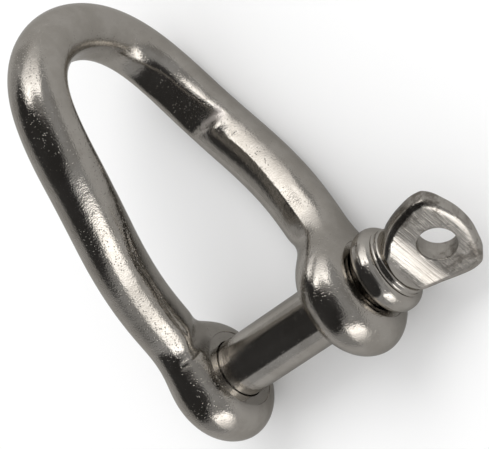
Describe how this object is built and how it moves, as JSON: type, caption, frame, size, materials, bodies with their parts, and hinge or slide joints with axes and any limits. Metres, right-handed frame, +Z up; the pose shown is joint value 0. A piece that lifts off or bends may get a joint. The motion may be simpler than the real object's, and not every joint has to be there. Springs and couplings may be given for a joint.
{
  "type": "twisted shackle",
  "caption": "Twisted bow shackle with a quarter-turned crown, forged eyes and a removable screw pin with collar and flat drilled tab.",
  "frame": {"origin": "middle of the bounding box at the level of the surface that the shackle lies on", "axes": "+X along the pin towards its tab, +Y from the pin towards the crown, +Z up; the shackle lies on its side as it comes to rest, touching at both eyes and at the lower side of the twisted bow"},
  "size_m": [0.0466, 0.0592, 0.0335],
  "materials": {
    "bow_steel": "barrel-polished stainless steel",
    "pin_steel": "turned and ground stainless steel, polished"
  },
  "bodies": {
    "bow": {"bow": "bow_steel"},
    "pin": {"screw_pin": "pin_steel"}
  },
  "joints": [
    {"name": "pin_withdrawal", "type": "slide", "parent": "bow", "child": "pin", "axis": [1, 0, 0], "range_m": [-0.0003, 0.034]}
  ]
}
